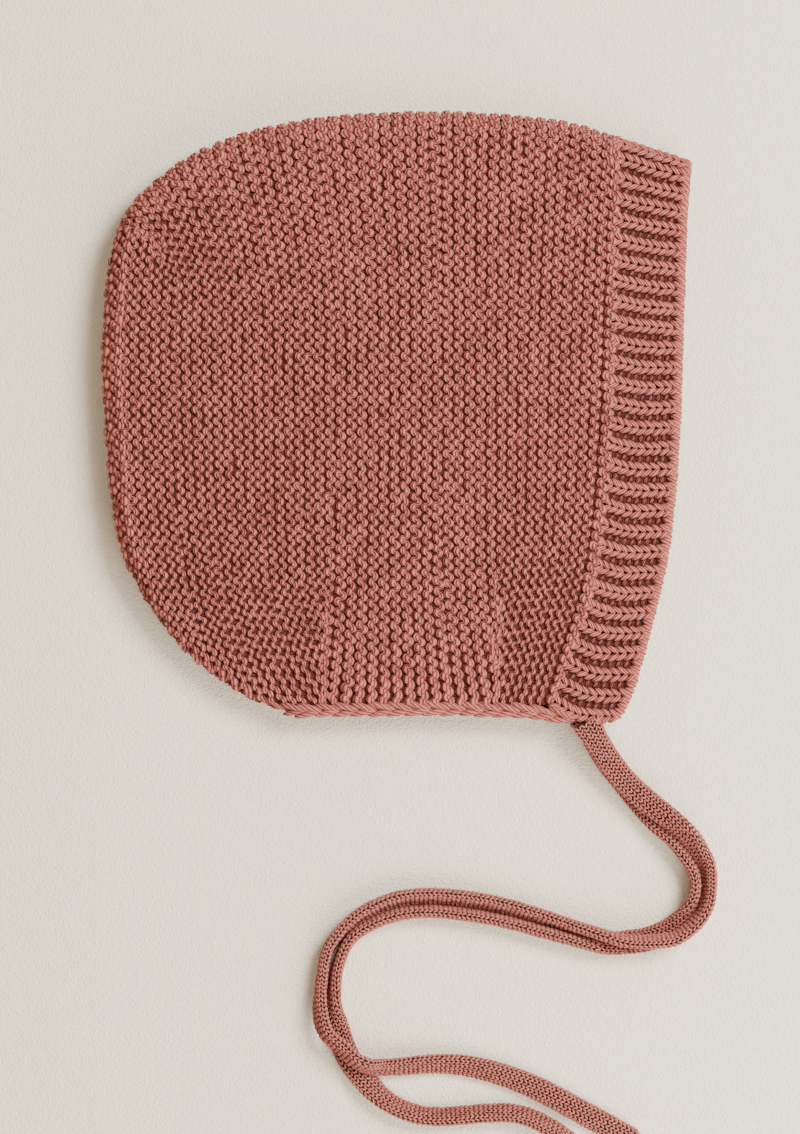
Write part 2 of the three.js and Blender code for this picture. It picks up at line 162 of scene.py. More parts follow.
# Where the ridges run: their ends, the two darts at the neck, the bend, the mitre and the fold's crest
PATH_STEP = 0.6
FRONT_SETBACK = 1.9
NECK_END = -80.4
FRONT_DART = {"x": 27.9, "top": -40.0, "foot": -80.4, "ridge": 10, "front_ends": 5, "back_ends": 2}
BACK_DART = {"x": -19.7, "top": -44.0, "foot": -82.0, "ridge": 26, "front_ends": 1, "back_ends": 6}
DART_EASE = 1.5
DART_TIP = {"gap": 3.0, "reach": 14.0, "thinning": 0.5}
NECK_FLUTES = {"from_y": -60.0, "reach": 18.0, "narrowing": 0.42, "swelling": 0.1}
FOLD_FLUTES = {"reach": 5.0, "narrowing": 0.45, "swelling": 0.14}
NAPE_TURN = {"y": -38.0, "slant": math.tan(math.radians(12.5))}
KINK = {"y": 41.2, "from_x": -45.0, "slope": 0.32, "past": 2.4, "rounds": 4}
MITRE_RIDGE = 42.0
BEND_SOFTNESS = [0.0, 20.0, 36.0, MITRE_RIDGE], [34.0, 22.0, 13.0, 10.0]
BEND_EASE = 2.4
BEND_POINTS = 90
CORNER_Y = 52.2
TOP_PITCH = 3.1
ROLL_DEPTH = 1.6
ROLL_POINTS = 60
BY_FOLD = 1.0
ON_CREST = 0.05
CREST_FOOT = -80.6
CREST_TURN = (-46.0, -32.0)
CREST_SIZES = (0.78, 1.05)
CREST_INSET = 1.0
CREST_STEP = 0.3
CORNER_CREST = {"before": 22, "after": 14}

# Ribbed band and the larger stitches where it was picked up
BORDER_SIZE = 1.16
BORDER_SHIFT = (0.2, 0.0)
BORDER_SHARES = np.linspace(0, 0.995, 260)
RIB_COUNT = 29
RIB_COURSES = np.linspace(0.085, 0.93, 9)
RIB_CORE_DEPTH = 1.9
RIB_INSET = 1.6
BAND_SHARES = 1 - (1 - np.linspace(0, 1, 240)) ** 1.7
RIM_STEP = 0.25
RIM_SHARES = np.array([0.97, 1.0])

# How far a rib's face end is raised, at shares of the band's length from the neck
RIB_RAISE = [0.0, 0.1, 0.5, 0.85, 1.0], [0.3, 2.4, 4.6, 3.0, 0.0]

# Stitches of the band and the chain edging: rings (forward, sideways, depth), radii and painted shade,
# lighter on the high rings and darker where they sink deep
RIB_LEG = [
    (-1.35, 1.7, 1.7), (-0.9, 1.5, 1.0), (-0.25, 1.15, 0.78),
    (0.45, 0.75, 0.78), (1.05, 0.42, 1.0), (1.45, 0.2, 1.7),
]
RIB_LEG_RADII = [0.4, 0.66, 0.73, 0.71, 0.62, 0.38]
RIB_LEG_PAINTED_SHADE = [0.2, 0.9, 1.25, 1.2, 0.8, 0.2]
PURL = [(-0.3, -0.95, 2.3), (-0.2, -0.55, 1.85), (0.0, 0.0, 1.65), (0.2, 0.55, 1.85), (0.3, 0.95, 2.3)]
PURL_RADII = [0.3, 0.5, 0.58, 0.5, 0.3]
PURL_PAINTED_SHADE = [-0.3, 0.0, 0.15, 0.0, -0.3]
RIM = [
    (-1.9, 0.3, 1.6), (-1.1, 0.15, 1.0), (-0.35, 0.0, 0.95),
    (0.1, -0.1, 1.4), (0.2, -0.15, 2.1), (-0.2, -0.15, 2.9),
]
RIM_RADII = [0.4, 0.78, 0.95, 1.0, 0.95, 0.5]
RIM_PAINTED_SHADE = [0.6, 1.0, 1.15, 1.15, 1.1, 0.7]
CHAIN_LEG = [
    (-4.0, 1.6, 1.6), (-2.7, 1.42, 1.0), (-0.9, 1.0, 0.82),
    (1.2, 0.42, 0.86), (2.9, 0.0, 1.2), (4.0, -0.25, 1.9),
]
CHAIN_LOW_LEG = [
    (-4.0, -1.6, 2.2), (-2.7, -1.45, 1.7), (-0.9, -1.15, 1.36),
    (1.2, -0.72, 1.3), (2.9, -0.35, 1.5), (4.0, -0.15, 2.1),
]
CHAIN_RADII = [0.45, 0.8, 0.92, 0.9, 0.76, 0.42]
CHAIN_PAINTED_SHADE = [0.5, 1.0, 1.1, 1.05, 0.9, 0.4]
GRAIN_STRAY = {"size": 0.06, "place": 0.06, "radius": 0.04, "tone_and_painted_shade": 0.08}
GRAIN_TONE_AND_SHADE_LIMITS = (-0.4, 1.4)

# Chain edging: its stitches taper to the nape, where a loop of yarn closes it
CHAIN_STITCH = 5.0
CHAIN_ENDS = {"nape": 3.4, "band": 1.0}
CHAIN_TAPER = 7.0
CHAIN_LOW_TAPER = 2.3 * CHAIN_TAPER
CHAIN_LEAST_SIZE = 0.4
# The core's low tone is painted shade under the chain's stitches
CHAIN_CORE = {"depth": 2.1, "radius": 1.25, "least": 0.3, "tone_and_painted_shade": 0.2, "sides": 8, "rings": 120}
CHAIN_LOOP = {"reach": 1.2, "width": 1.1, "depth": 1.3, "radius": 0.72, "tone_and_painted_shade": 0.9, "rings": 9}

# Plied wool: spacing and number of the plies, and what each pattern adds to the shade
PLY_SPACING = 2.2
PLY_COUNT = 5
PLY_POWER = 0.65
YARN_OFFSET = 7.3
STREAK_SCALES = {"turn": 1.7, "along": 0.45}
FIBRE_SCALE = 2600.0
PATCH_SCALE = 60.0
SHADE_WEIGHTS = {"tone_and_painted_shade": 0.62, "ply": 0.9, "streaks": 0.6, "fibres": 0.25, "patches": 0.2}
SHADE_DROP = 1.1
RELIEF_WEIGHTS = {"ply": 0.8, "fibres": 0.5}
# Low tone of the plain walls under the stitches: painted shade between them
CORE_PAINTED_SHADE = 0.1

# The photo's frame at the height of the fold's crest, and the point in metres that the lights face
PHOTO_MIDDLE = (1.26, -42.0)
PHOTO_HEIGHT = 317.5
LIGHT_AIM = (0.0, -0.03, 0.0)

# Points whose distance to the fold is worked out at one time
BLOCK_SIZE = 1500


def spline(rows):
    """Points of a smooth curve through the rows, as the part's source draws it."""
    rows = np.asarray(rows, float)
    guide = np.vstack([2 * rows[0] - rows[1], rows, 2 * rows[-1] - rows[-2]])
    share = np.linspace(0, 1, ROW_STEPS, endpoint=False)[:, None]
    spans = []
    for a, b, c, d in zip(guide, guide[1:], guide[2:], guide[3:]):
        linear = (c - a) * share
        square = (2 * a - 5 * b + 4 * c - d) * share**2
        cube = (3 * b - a - 3 * c + d) * share**3
        spans.append(0.5 * (2 * b + linear + square + cube))
    return np.vstack(spans + [rows[-1:]])


def lengths_of(line):
    """Length along a line of points at each of them."""
    steps = np.linalg.norm(np.diff(line, axis=0), axis=1)
    return np.concatenate([[0.0], np.cumsum(steps)])


def at_length(line, where, lengths=None):
    """Points of a line at some lengths along it."""
    lengths = lengths_of(line) if lengths is None else lengths
    return np.stack([np.interp(where, lengths, line[:, i]) for i in range(line.shape[1])], axis=-1)


def at_share(line, share):
    """Points of a line at some shares of its length."""
    lengths = lengths_of(line)
    return at_length(line, np.asarray(share) * lengths[-1], lengths)


def unit(vectors):
    """Vectors made one long."""
    return vectors / np.maximum(np.linalg.norm(vectors, axis=-1, keepdims=True), 1e-9)


def smoothstep(value):
    """Smooth step from 0 to 1."""
    value = np.clip(value, 0, 1)
    return value * value * (3 - 2 * value)


def rising(start, share):
    """A value that rises from a start to 1 with a share."""
    return start + (1 - start) * share


def smoothed(values, window):
    """Running mean of values, with both ends held."""
    padded = np.pad(values, window // 2, mode="edge")
    return np.convolve(padded, np.ones(window) / window, mode="valid")


FOLD = spline(FOLD_ROWS)
FOLD_TOP = FOLD[BORDER_TOP_ROW * ROW_STEPS: CORNER_ROW * ROW_STEPS + 1]
FOLD_TOP_LENGTH = lengths_of(FOLD_TOP)[-1]
FOLD_BACK = FOLD[CORNER_ROW * ROW_STEPS:]
BORDER = spline(BORDER_ROWS)
FACE = spline(FACE_ROWS)


def towards_fold(plan):
    """Distance in plan from points to the centre fold, and the way out across it."""
    starts = FOLD[:-1]
    runs = FOLD[1:] - starts
    squares = (runs**2).sum(axis=1)
    distance = np.empty(len(plan))
    outward = np.empty((len(plan), 2))
    for block in np.array_split(np.arange(len(plan)), len(plan) // BLOCK_SIZE + 1):
        here = plan[block][:, None, :]
        share = np.clip(((here - starts) * runs).sum(axis=2) / squares, 0, 1)
        feet = starts + share[..., None] * runs
        gaps = np.linalg.norm(here - feet, axis=2)
        best = gaps.argmin(axis=1)
        rows = np.arange(len(block))
        distance[block] = gaps[rows, best]
        along = unit(runs[best])
        across = np.stack([along[:, 1], -along[:, 0]], axis=1)
        away = unit(feet[rows, best] - plan[block])
        on_crest = distance[block] < ON_CREST
        outward[block] = np.where(on_crest[:, None], across, away)
        distance[block] = np.where(on_crest, 0.0, distance[block])
    return distance, outward


def near_height(plan):
    """Height of the near side's outer face, away from the folds."""
    x, y = plan[:, 0], plan[:, 1]
    from_front = smoothstep((RISE["front_x"] - x) / RISE["front_reach"])
    from_neck = smoothstep((y - RISE["neck_y"]) / RISE["neck_reach"])
    height = OPENING_TOP + (CROWN_TOP - OPENING_TOP) * from_front * from_neck
    for dent in DENTS:
        away = np.hypot(x - dent["x"], y - dent["y"]) / dent["reach"]
        height = height - dent["depth"] * np.exp(-away**2)
    return height


def cloth(plan, side, depth=0.0):
    """Points of the folded cloth at plan points, at a depth under its outer face, and its normals."""
    distance, outward = towards_fold(plan)
    turn = np.arccos(1 - np.minimum(distance / FOLD_REACH, 1))
    half = near_height(plan) - CREST_HEIGHT if side == NEAR else np.full(len(plan), CREST_HEIGHT)
    normals = np.empty((len(plan), 3))
    normals[:, :2] = outward * (half * np.cos(turn))[:, None]
    normals[:, 2] = side * FOLD_REACH * np.sin(turn)
    normals = unit(normals)
    points = np.column_stack([plan, CREST_HEIGHT + side * half * np.sin(turn)])
    return points - normals * np.broadcast_to(depth, len(plan))[:, None], normals


class Knit:
    """Collects yarn tubes and plain walls into one mesh."""

    def __init__(self):
        self.points = []
        self.quads = []
        self.uvs = []
        self.tones_and_painted_shades = []
        self.count = 0

    def add_grid(self, points, u, v, tone_and_painted_shade, closed, flip, twist=1):
        """A set of grids of points (grids, rows, columns, 3), closed round their columns or not."""
        grids, rows, columns = points.shape[:3]
        index = self.count + np.arange(grids * rows * columns).reshape(grids, rows, columns)
        if closed:
            index = np.concatenate([index, index[:, :, :1]], axis=2)
            v = np.concatenate([v, v[:, :, :1] + twist], axis=2)
            u = np.concatenate([u, u[:, :, :1]], axis=2)
        corners = [(slice(None, -1), slice(None, -1)), (slice(1, None), slice(None, -1)),
                   (slice(1, None), slice(1, None)), (slice(None, -1), slice(1, None))]
        if flip:
            corners = corners[::-1]
        self.quads.append(np.stack([index[:, r, c] for r, c in corners], axis=-1).reshape(-1, 4))
        uv = np.stack([u, v], axis=-1)
        self.uvs.append(np.stack([uv[:, r, c] for r, c in corners], axis=-2).reshape(-1, 2))
        self.points.append(points.reshape(-1, 3))
        self.tones_and_painted_shades.append(np.broadcast_to(tone_and_painted_shade, (grids, rows, columns)).reshape(-1))
        self.count += grids * rows * columns

    def add_yarn(self, centres, normals, radii, tones_and_painted_shades, sides=6, twist=1):
        """Yarn tubes through rings of centres (tubes, rings, 3), whose upper side faces the normals."""
        tangents = unit(np.gradient(centres, axis=1))
        across = unit(np.cross(tangents, normals))
        up = np.cross(across, tangents)
        angles = 2 * np.pi * np.arange(sides) / sides
        spokes = (across[:, :, None, :] * np.cos(angles)[:, None]
                  + up[:, :, None, :] * np.sin(angles)[:, None])
        size = np.broadcast_to(radii, centres.shape[:2])[:, :, None, None]
        points = centres[:, :, None, :] + size * spokes
        steps = np.linalg.norm(np.diff(centres, axis=1), axis=2)
        run = np.concatenate([np.zeros((len(centres), 1)), np.cumsum(steps, axis=1)], axis=1)
        run = run + YARN_OFFSET * np.arange(len(centres))[:, None]
        u = np.broadcast_to(run[:, :, None], points.shape[:3])
        v = np.broadcast_to(twist * angles / (2 * np.pi), points.shape[:3])
        tone_and_painted_shade = np.broadcast_to(tones_and_painted_shades, centres.shape[:2])[:, :, None]
        self.add_grid(points, u, v, tone_and_painted_shade, closed=True, flip=False, twist=twist)

    def add_wall(self, points, flip, tone_and_painted_shade=CORE_PAINTED_SHADE):
        """One plain grid of points (rows, columns, 3)."""
        rows, columns = points.shape[:2]
        u, v = np.meshgrid(np.arange(rows, dtype=float), np.arange(columns, dtype=float), indexing="ij")
        self.add_grid(points[None], u[None], v[None], tone_and_painted_shade, closed=False, flip=flip)

    def build(self, name, material, slot, *nodes):
        """The mesh object, riding on the part's one body and standing for some CAD nodes."""
        mesh = bpy.data.meshes.new(name)
        points = np.vstack(self.points) * MM
        mesh.from_pydata(points.tolist(), [], np.vstack(self.quads).tolist())
        mesh.uv_layers.new(name="yarn").data.foreach_set("uv", np.vstack(self.uvs).ravel())
        # Per-point value: random stitch tone plus painted shade and painted highlight
        tone_and_painted_shade = mesh.attributes.new("tone_and_painted_shade", "FLOAT", "POINT")
        tone_and_painted_shade.data.foreach_set("value", np.concatenate(self.tones_and_painted_shades).astype(np.float32))
        mesh.polygons.foreach_set("use_smooth", np.ones(len(mesh.polygons), bool))
        mesh.materials.append(material)
        mesh.update()
        obj = bpy.data.objects.new(name, mesh)
        bpy.context.scene.collection.objects.link(obj)
        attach(obj, "root")
        if nodes:
            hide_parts(*nodes)
        return obj


def set_inputs(node, values):
    """Set a node's inputs by name or number."""
    for key, value in values.items():
        node.inputs[key].default_value = value


def shader_maths(tree, operation, first, second=None):
    """A Math node on sockets or numbers."""
    node = tree.nodes.new("ShaderNodeMath")
    node.operation = operation
    for socket, value in zip(node.inputs, (first, second)):
        if isinstance(value, bpy.types.NodeSocket):
            tree.links.new(value, socket)
        elif value is not None:
            socket.default_value = value
    return node.outputs[0]


def noise(tree, vector, scale, detail, roughness=0.6):
    """A noise texture's value at some places."""
    node = tree.nodes.new("ShaderNodeTexNoise")
    set_inputs(node, {"Scale": scale, "Detail": detail, "Roughness": roughness})
    tree.links.new(vector, node.inputs["Vector"])
    return node.outputs["Fac"]


def new_material(name, inputs):
    """A material, its node tree, and its shader with some inputs set."""
    material = bpy.data.materials.new(name)
    material.use_nodes = True
    shader = material.node_tree.nodes["Principled BSDF"]
    set_inputs(shader, inputs)
    return material, material.node_tree, shader


def colour_between(tree, shader, factor, first, second):
    """Base colour that goes from one colour to another with a factor."""
    mix = tree.nodes.new("ShaderNodeMix")
    mix.data_type = "RGBA"
    mix.inputs["A"].default_value = (*first, 1.0)
    mix.inputs["B"].default_value = (*second, 1.0)
    tree.links.new(factor, mix.inputs["Factor"])
    tree.links.new(mix.outputs["Result"], shader.inputs["Base Color"])


def raise_relief(tree, shader, height, strength, distance):
    """Fine relief from a height."""
    bump = tree.nodes.new("ShaderNodeBump")
    set_inputs(bump, {"Strength": strength, "Distance": distance})
    tree.links.new(height, bump.inputs["Height"])
    tree.links.new(bump.outputs["Normal"], shader.inputs["Normal"])


def wool(name, dark, light):
    """Plied wool: random tone and painted shade from the stitch, plies from the yarn's run, and streaks and
    fibres from noise.
    """
    material, tree, shader = new_material(name, {
        "Roughness": 0.88, "Specular IOR Level": 0.15, "Sheen Weight": 0.16,
        "Sheen Roughness": 0.5, "Sheen Tint": (1.0, 0.64, 0.55, 1.0),
    })
    uv = tree.nodes.new("ShaderNodeUVMap")
    uv.uv_map = "yarn"
    parts = tree.nodes.new("ShaderNodeSeparateXYZ")
    tree.links.new(uv.outputs[0], parts.inputs[0])
    run = parts.outputs["X"]
    along = shader_maths(tree, "DIVIDE", run, PLY_SPACING)
    around = shader_maths(tree, "MULTIPLY", parts.outputs["Y"], PLY_COUNT)
    turn = shader_maths(tree, "ADD", along, around)
    wave = shader_maths(tree, "SINE", shader_maths(tree, "MULTIPLY", turn, math.pi))
    streak_place = tree.nodes.new("ShaderNodeCombineXYZ")
    tree.links.new(shader_maths(tree, "MULTIPLY", turn, STREAK_SCALES["turn"]), streak_place.inputs["X"])
    tree.links.new(shader_maths(tree, "MULTIPLY", run, STREAK_SCALES["along"]), streak_place.inputs["Y"])
    # Reads the per-point tone with its painted shade and highlight
    tone_and_painted_shade = tree.nodes.new("ShaderNodeAttribute")
    tone_and_painted_shade.attribute_name = "tone_and_painted_shade"
    place = tree.nodes.new("ShaderNodeTexCoord").outputs["Object"]
    patterns = {
        "ply": shader_maths(tree, "POWER", shader_maths(tree, "ABSOLUTE", wave), PLY_POWER),
        "streaks": noise(tree, streak_place.outputs[0], scale=1.0, detail=2.0),
        "fibres": noise(tree, place, scale=FIBRE_SCALE, detail=3.0),
        "patches": noise(tree, place, scale=PATCH_SCALE, detail=3.0),
    }
    shade = shader_maths(tree, "MULTIPLY", tone_and_painted_shade.outputs["Fac"], SHADE_WEIGHTS["tone_and_painted_shade"])
    for pattern, value in patterns.items():
        added = shader_maths(tree, "MULTIPLY", value, SHADE_WEIGHTS[pattern])
        shade = shader_maths(tree, "ADD", shade, added)
    shade = shader_maths(tree, "SUBTRACT", shade, SHADE_DROP)
    colour_between(tree, shader, shade, dark, light)
    relief = [shader_maths(tree, "MULTIPLY", patterns[pattern], weight)
              for pattern, weight in RELIEF_WEIGHTS.items()]
    raise_relief(tree, shader, shader_maths(tree, "ADD", *relief), strength=0.9, distance=0.001)
    return material


yarn_wool = wool("dusty_rose_wool", dark=(0.126, 0.0195, 0.0158), light=(0.61, 0.17, 0.141))
# The ties' wool is the same yarn painted lighter, as painted light, with darker gaps as painted shade
lit_tie_wool = wool("dusty_rose_wool_tie_painted_light", dark=(0.085, 0.013, 0.0105), light=(1.0, 0.308, 0.246))
# The walls under the stitches are the same yarn painted darker: painted shade in the gaps between stitches
shaded_core_wool = wool("dusty_rose_wool_core_painted_shade", dark=(0.1, 0.0165, 0.0125), light=(0.24, 0.053, 0.04))


def front_at(y):
    """Where the garter stitch starts, behind the border, at a height."""
    return np.interp(y, BORDER[:, 1], BORDER[:, 0]) - FRONT_SETBACK


def fold_at(y):
    """The back fold at a height."""
    return np.interp(y, FOLD_BACK[::-1, 1], FOLD_BACK[::-1, 0])


def back_at(y):
    """The line that the last ridges run along: the back fold, then on past the turn to the nape."""
    past_turn = fold_at(NAPE_TURN["y"]) + (NAPE_TURN["y"] - y) * NAPE_TURN["slant"]
    return np.where(y > NAPE_TURN["y"], fold_at(y), past_turn)


ROLL_TURN = np.linspace(0, np.pi / 2, ROLL_POINTS)
ROLL = np.column_stack([FOLD_REACH * (1 - np.cos(ROLL_TURN)), ROLL_DEPTH * np.sin(ROLL_TURN)])
ROLL_LENGTHS = lengths_of(ROLL)
ROLL_SPARE = ROLL_LENGTHS[-1] - FOLD_REACH


def plan_reach(length):
    """Plan distance from the back fold at a length over the rolled cloth from its crest."""
    rolled = np.interp(length, ROLL_LENGTHS, ROLL[:, 0])
    return np.where(length < ROLL_LENGTHS[-1], rolled, length - ROLL_SPARE)


def dart_share(dart, y):
    """How much of a dart's short rows have ended at a height."""
    return np.clip((dart["top"] - y) / (dart["top"] - dart["foot"]), 0, 1) ** DART_EASE


def ridge_at(centre, y):
    """Where a ridge runs at some heights, and whether it is still there."""
    front, back = FRONT_DART, BACK_DART
    front_share, back_share = dart_share(front, y), dart_share(back, y)
    if centre < front["ridge"]:
        last = front["ridge"] - front["front_ends"] * front_share
        start = front_at(y)
        return start + (front["x"] - start) * centre / last, centre < last
    if centre < back["ridge"]:
        first = front["ridge"] + front["back_ends"] * front_share
        last = back["ridge"] - back["front_ends"] * back_share
        share = (centre - first) / (last - first)
        return front["x"] + (back["x"] - front["x"]) * share, (centre > first) & (centre < last)
    first = back["ridge"] + back["back_ends"] * back_share
    total = back["x"] - back_at(y) + ROLL_SPARE
    left = total * (RIDGE_COUNT - centre) / (RIDGE_COUNT - first)
    return back_at(y) + plan_reach(left), centre > first


def kink_height(x):
    """Height of the line where the ridges bend towards the back of the crown."""
    return KINK["y"] + max(0.0, KINK["from_x"] - x) * KINK["slope"]


def ridge_plan(centre):
    """Plan line of a ridge from the neck to the crown fold, or to the mitre near the back."""
    bend_y = KINK["y"]
    for _ in range(KINK["rounds"]):
        bend_x = float(ridge_at(centre, np.array([bend_y]))[0][0])
        bend_y = kink_height(bend_x)
    goes_over = centre < MITRE_RIDGE
    top_y = min(bend_y + KINK["past"], CORNER_Y)
    if goes_over:
        top_y = bend_y - np.interp(centre, *BEND_SOFTNESS)
    y = np.arange(NECK_END, top_y, PATH_STEP)
    x, there = ridge_at(centre, y)
    there = there & (x > fold_at(y) + ON_CREST)
    first = np.flatnonzero(~there).max() + 1 if not there.all() else 0
    line = np.column_stack([x, y])[first:]
    if goes_over:
        spare = FOLD_TOP_LENGTH - TOP_PITCH * MITRE_RIDGE
        reach = TOP_PITCH * centre + spare * (centre / MITRE_RIDGE) ** 2
        top = at_length(FOLD_TOP, np.array([reach]))[0]
        share = (1 - (1 - np.linspace(0, 1, BEND_POINTS)[1:]) ** BEND_EASE)[:, None]
        bend = np.array([bend_x, bend_y])
        curve = (1 - share) ** 2 * line[-1] + 2 * share * (1 - share) * bend + share**2 * top
        line = np.vstack([line, curve])
    return line, goes_over


def stitch_noise(phase, size):
    """Random values that change smoothly from stitch to stitch along a ridge."""
    turns = phase / (2 * np.pi)
    knots = np.arange(np.floor(turns.min()) - 1, np.ceil(turns.max()) + 2, 0.5)
    return np.interp(turns, knots, rng.normal(0, size, len(knots)))


def spacing_of(path, neighbours):
    """Mean distance from a ridge's points to the ridges beside it, as a share of the usual pitch."""
    found = []
    for other in neighbours:
        gaps = np.linalg.norm(path[:, None] - other[None], axis=2).min(axis=1)
        found.append(np.where(gaps < SPACING["widest_gap"] * RIDGE_PITCH, gaps, RIDGE_PITCH))
    mean = np.mean(found, axis=0) / RIDGE_PITCH
    return np.clip(smoothed(mean, SPACING["window"]), SPACING["least"], SPACING["most"])


def even_phase(where):
    """Phase of stitches of the usual length, at lengths along a ridge."""
    return -2 * np.pi * where / STITCH


def add_ridge(knit, path, normals, lengths, spacing, phase_at, side, open_start=False):
    """One ridge of garter stitch: a yarn that swings from side to side, and dips where it crosses back,
    with painted shade there.
    """
    steps = max(2, int(round(lengths[-1] * RINGS_PER_STITCH[side] / STITCH)))
    where = np.linspace(0, lengths[-1], steps + 1)
    centres = at_length(path, where, lengths)
    facing = unit(at_length(normals, where, lengths))
    size = np.interp(where, lengths, spacing)
    tangents = unit(np.gradient(centres, axis=0)) * side
    right = unit(np.cross(tangents, facing)) * side
    phase = phase_at(where) + stitch_noise(phase_at(where), STRAY["phase"])
    swing = WAVE_WIDTH * np.tanh(WAVE_SHARPNESS * np.cos(phase)) / math.tanh(WAVE_SHARPNESS)
    swing = swing * (1 + stitch_noise(phase, STRAY["swing"])) + stitch_noise(phase, STRAY["place"])
    crossing = np.abs(np.sin(phase)) ** 2
    dip = -crossing * (CROSSING["dip"] + CROSSING["tilt"] * np.sin(phase))
    dip = dip + stitch_noise(phase, STRAY["depth"])
    radii = YARN_RADIUS * (1.0 - CROSSING["thinning"] * crossing + stitch_noise(phase, STRAY["radius"]))
    by_neck = smoothstep((NECK_FLUTES["from_y"] - centres[:, 1]) / NECK_FLUTES["reach"])
    by_fold = smoothstep(1 - (lengths[-1] - where) / FOLD_FLUTES["reach"])
    for near, flutes in ((by_neck, NECK_FLUTES), (by_fold, FOLD_FLUTES)):
        swing = swing * (1 - flutes["narrowing"] * near)
        radii = radii * (1 + flutes["swelling"] * near)
    if open_start:
        closing = np.ones(len(where))
        swing = swing * rising(OPEN_START["swing"], smoothstep(where / OPEN_START["reach"]))
    else:
        closing = smoothstep(where / CLOSED_START["reach"])
    radii = radii * rising(CLOSED_START["size"], closing) * size ** SIZE_POWERS["radius"]
    depth = YARN_RADIUS - dip + CLOSED_START["sunk"] * (1 - closing)
    swing = swing * size ** SIZE_POWERS["swing"]
    centres = centres + right * swing[:, None] - facing * depth[:, None]
    # Painted shade where the yarn crosses back, plus random tone from stitch to stitch
    tones_and_painted_shades = 1.0 - CROSSING["shade"] * crossing + stitch_noise(phase, STRAY["tone_and_painted_shade"])
    tones_and_painted_shades = np.clip(tones_and_painted_shades, *RIDGE_TONE_AND_SHADE_LIMITS)
    knit.add_yarn(centres[None], facing[None], radii[None], tones_and_painted_shades[None], sides=YARN_SIDES[side])


def stitch_run(where, path, lengths, middle):
    """Run of stitches from a ridge's middle: length above it, and height below, so that rows stay level."""
    return np.where(where > middle, where - middle, np.interp(where, lengths, path[:, 1]))


def full_ridges(parts):
    """The ridges of both sides, with stitches that meet over the crown fold."""
    plans = [ridge_plan(ridge + 0.5) for ridge in range(RIDGE_COUNT)]
    laid = {side: [cloth(plan, side) for plan, _ in plans] for side in (NEAR, FAR)}
    for ridge, (plan, goes_over) in enumerate(plans):
        paths = {}
        for side in (NEAR, FAR):
            path, normals = laid[side][ridge]
            lengths = lengths_of(path)
            middle = np.interp(0.0, path[:, 1], lengths)
            paths[side] = path, normals, lengths, middle
        over = {side: lengths[-1] - middle for side, (_, _, lengths, middle) in paths.items()}
        total = over[NEAR] + over[FAR]
        pitch = total / round(total / STITCH) if goes_over else STITCH
        part = GARTER_PARTS[ridge * len(GARTER_PARTS) // RIDGE_COUNT]
        from_fold = plan[0, 0] < fold_at(plan[0, 1]) + BY_FOLD
        others = [other for other in (ridge - 1, ridge + 1) if 0 <= other < RIDGE_COUNT]
        for side in (NEAR, FAR):
            path, normals, lengths, middle = paths[side]
            past = 0.0 if side == NEAR else total

            def phase_at(where):
                run = stitch_run(where, path, lengths, middle)
                return -2 * np.pi * (past + side * run) / pitch

            spacing = spacing_of(path, [laid[side][other][0] for other in others])
            add_ridge(parts[side, part], path, normals, lengths, spacing, phase_at, side, from_fold)


def dart_ridges(parts):
    """The ridge along each dart, thinner towards its tip."""
    for dart in (FRONT_DART, BACK_DART):
        y = np.arange(NECK_END, dart["top"] - DART_TIP["gap"], PATH_STEP)
        plan = np.column_stack([np.full(len(y), dart["x"]), y])
        for side in (NEAR, FAR):
            path, normals = cloth(plan, side)
            lengths = lengths_of(path)
            by_tip = smoothstep(1 - (lengths[-1] - lengths) / DART_TIP["reach"])
            size = 1 - DART_TIP["thinning"] * by_tip
            add_ridge(parts[side, "middle"], path, normals, lengths, size, even_phase, side)


def crest_ridges(parts):
    """The ridges along the back fold's crest: one on it, one beside it, and one round the corner."""
    corner = CORNER_ROW * ROW_STEPS
    _, outward = towards_fold(FOLD_BACK)
    beside_crest = FOLD_BACK - CREST_STEP * outward
    crests = (
        FOLD_BACK[FOLD_BACK[:, 1] > CREST_FOOT],
        beside_crest[FOLD_BACK[:, 1] > CREST_TURN[0]],
        FOLD[corner - CORNER_CREST["before"]: corner + CORNER_CREST["after"]],
    )
    for crest in crests:
        inset = np.interp(crest[:, 1], CREST_TURN, (0.0, CREST_INSET))
        path, normals = cloth(crest, NEAR, inset)
        size = np.interp(path[:, 1], CREST_TURN, CREST_SIZES)
        add_ridge(parts[NEAR, "back"], path, normals, lengths_of(path), size, even_phase, NEAR)


def garter_sides():
    """The garter stitch of both sides, in three meshes each."""
    parts = {(side, part): Knit() for side in (NEAR, FAR) for part in GARTER_PARTS}
    full_ridges(parts)
    dart_ridges(parts)
    crest_ridges(parts)
    for (side, part), knit in parts.items():
        knit.build(f"garter_{SIDE_NAMES[side]}_{part}", yarn_wool, "garter_knit")


def plan_patch(start, end, low, high):
    """Plan points between four boundary lines, for shares along and across of the same shape."""
    def points(along, across):
        along, across = np.broadcast_arrays(np.asarray(along, float), np.asarray(across, float))
        a, b = along[..., None], across[..., None]
        ruled = at_share(start, across) * (1 - a) + at_share(end, across) * a
        lofted = at_share(low, along) * (1 - b) + at_share(high, along) * b
        corners = ((low[0] * (1 - a) + low[-1] * a) * (1 - b) + (high[0] * (1 - a) + high[-1] * a) * b)
        return ruled + lofted - corners
    return points


